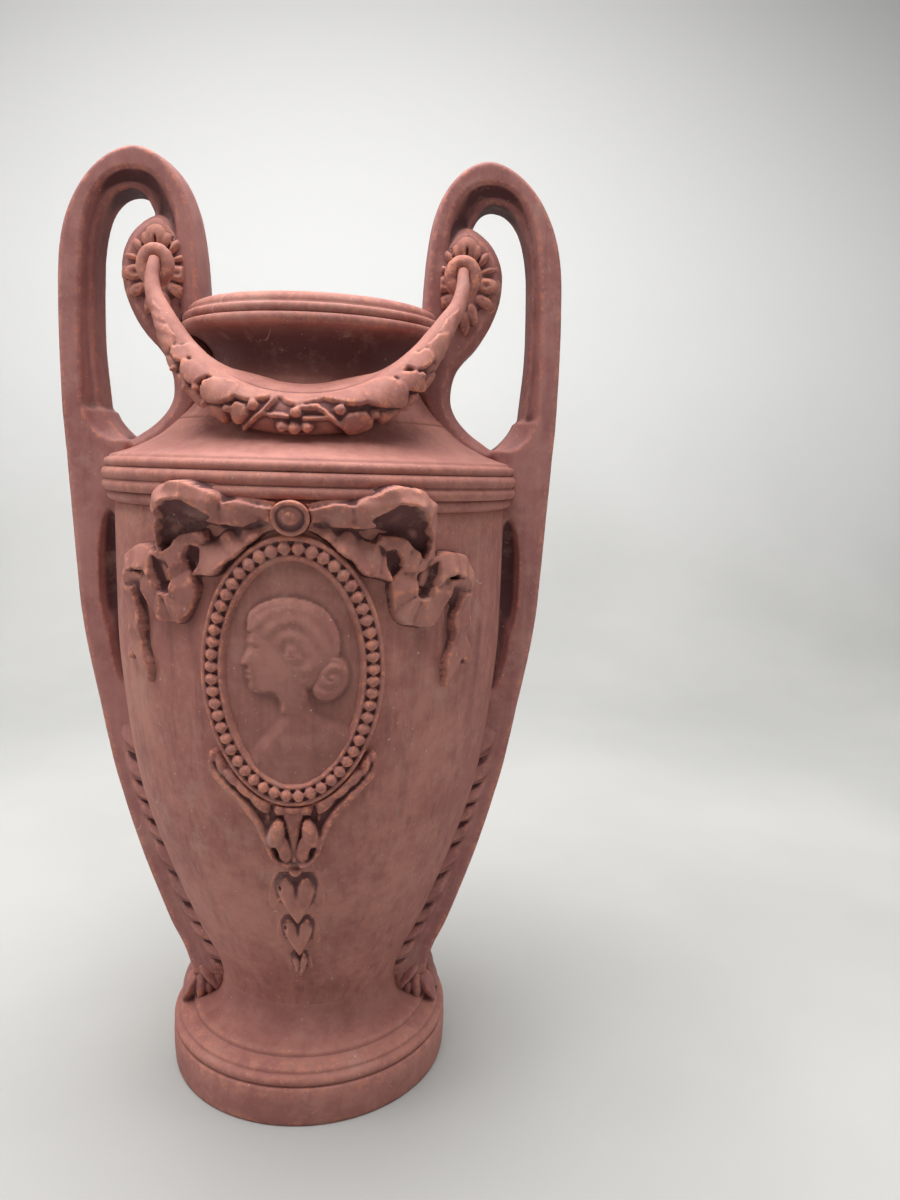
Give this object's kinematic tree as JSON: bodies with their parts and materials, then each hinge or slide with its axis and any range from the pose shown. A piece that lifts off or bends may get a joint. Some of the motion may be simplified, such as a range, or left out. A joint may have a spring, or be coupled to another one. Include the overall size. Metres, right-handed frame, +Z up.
{
  "type": "handled vase",
  "caption": "Tall terracotta urn on a turned foot, with two looped handles, a garland, beaded medallions, ribbons and husks applied in relief.",
  "frame": {"origin": "middle of the foot's underside, on the surface that the vase stands on", "axes": "+Z up along the pot's axis; the handles lie along X; the medallions face -Y and +Y"},
  "size_m": [0.1982, 0.174, 0.379],
  "materials": {
    "terracotta_pot": "matte red-brown fired clay, turned and smoothed",
    "terracotta_handle": "matte red-brown fired clay, pressed in a mould",
    "terracotta_relief": "matte red-brown fired clay with worn orange edges",
    "terracotta_plaque": "matte red-brown fired clay, lightly polished by handling"
  },
  "bodies": {
    "root": {"foot": "terracotta_pot", "belly": "terracotta_pot", "shoulder_band": "terracotta_pot", "neck": "terracotta_pot", "handle_left": "terracotta_handle", "handle_right": "terracotta_handle", "foot_leaf_left": "terracotta_relief", "foot_leaf_right": "terracotta_relief", "rosette_left_front": "terracotta_relief", "rosette_right_front": "terracotta_relief", "rosette_left_back": "terracotta_relief", "rosette_right_back": "terracotta_relief", "ring_left_front": "terracotta_relief", "ring_right_front": "terracotta_relief", "ring_left_back": "terracotta_relief", "ring_right_back": "terracotta_relief", "laurel_left_front": "terracotta_relief", "laurel_right_front": "terracotta_relief", "laurel_left_back": "terracotta_relief", "laurel_right_back": "terracotta_relief", "garland_front": "terracotta_relief", "garland_back": "terracotta_relief", "bow_button_front": "terracotta_relief", "bow_button_back": "terracotta_relief", "medallion_frame_front": "terracotta_relief", "medallion_frame_back": "terracotta_relief", "medallion_plaque_front": "terracotta_plaque", "medallion_plaque_back": "terracotta_plaque", "ribbon_left_front": "terracotta_relief", "ribbon_left_back": "terracotta_relief", "ribbon_right_front": "terracotta_relief", "ribbon_right_back": "terracotta_relief", "calyx_front": "terracotta_relief", "calyx_back": "terracotta_relief", "husk_upper_front": "terracotta_relief", "husk_upper_back": "terracotta_relief", "husk_middle_front": "terracotta_relief", "husk_middle_back": "terracotta_relief", "husk_lower_front": "terracotta_relief", "husk_lower_back": "terracotta_relief"}
  },
  "joints": []
}
